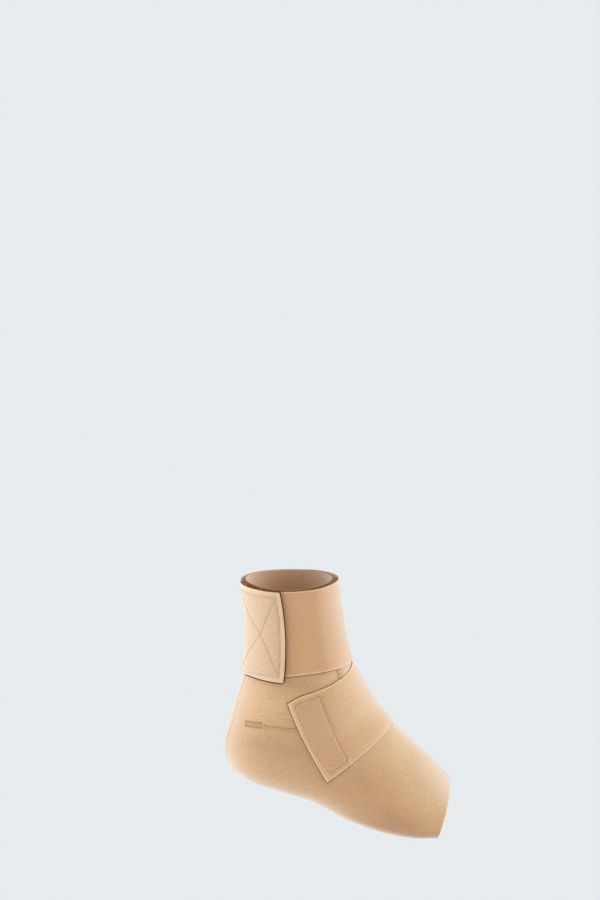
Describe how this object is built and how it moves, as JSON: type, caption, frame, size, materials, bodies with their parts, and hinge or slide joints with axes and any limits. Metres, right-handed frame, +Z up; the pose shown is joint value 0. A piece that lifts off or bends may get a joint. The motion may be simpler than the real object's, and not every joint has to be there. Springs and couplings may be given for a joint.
{
  "type": "foot compression wrap",
  "caption": "Beige open-toed compression wrap for the right foot: a ribbed cloth boot with an ankle band, a closing tab and an instep strap held by hook and loop.",
  "frame": {"origin": "centre of the ankle hollow, on the axis of the ankle tube at its narrow, where the ankle sits", "axes": "+X to the toe edge, +Y to the inner side of the foot, +Z up the ankle tube"},
  "size_m": [0.184, 0.0937, 0.2087],
  "materials": {
    "boot_cloth": "beige rib knit with a soft sheen",
    "strap_cloth": "beige rib knit laminate with pale cut edges",
    "tab_cloth": "pale beige brushed cloth with box-and-cross stitching",
    "hook_tape": "dark brown hook tape",
    "strip_tape": "tan hook tape"
  },
  "bodies": {
    "root": {"foot_boot": "boot_cloth", "front_flap": "boot_cloth", "instep_strap": "strap_cloth", "strap_hook_strip": "strip_tape", "ankle_band": "strap_cloth", "ankle_hook_patch": "hook_tape", "ankle_tab": "tab_cloth"}
  },
  "joints": []
}
